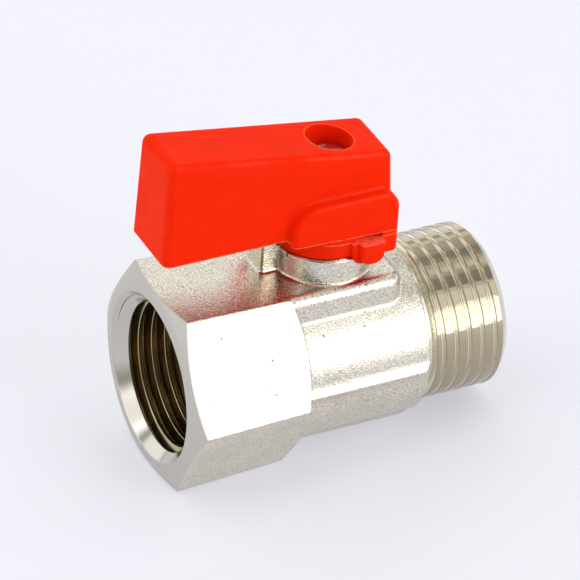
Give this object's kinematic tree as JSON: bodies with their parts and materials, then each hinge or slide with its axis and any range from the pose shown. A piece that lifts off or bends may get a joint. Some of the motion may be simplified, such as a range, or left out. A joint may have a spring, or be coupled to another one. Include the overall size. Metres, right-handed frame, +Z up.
{
  "type": "isolating valve",
  "caption": "Lever ball valve with a hexagon female pipe thread at one end and a male pipe thread at the other; a moulded lever on top turns the ball a quarter turn to open or close it.",
  "frame": {"origin": "centre of the ball, where the flow axis crosses the stem axis", "axes": "+X along the flow axis out of the male port, -X out of the female port, +Z up the stem"},
  "size_m": [0.0459, 0.0294, 0.0464],
  "materials": {
    "nickel_plate": "nickel plated, blasted",
    "chrome_ball": "polished",
    "bare_brass": "turned",
    "seat_ptfe": "matte",
    "seal_rubber": "matte",
    "red_plastic": "moulded, fine grain",
    "screw_steel": "zinc plated"
  },
  "bodies": {
    "body": {"valve_body": "nickel_plate", "seat_retainer": "bare_brass", "inlet_seat": "seat_ptfe", "outlet_seat": "seat_ptfe"},
    "lever": {"handle": "red_plastic", "handle_screw": "screw_steel", "stem": "bare_brass", "stem_thrust_washer": "seat_ptfe", "lower_stem_seal": "seal_rubber", "upper_stem_seal": "seal_rubber", "ball": "chrome_ball"}
  },
  "joints": [
    {"name": "handle_turn", "type": "hinge", "parent": "body", "child": "lever", "pos_m": [0, 0, 0], "axis": [0, 0, 1], "range_deg": [-90, 0]}
  ]
}
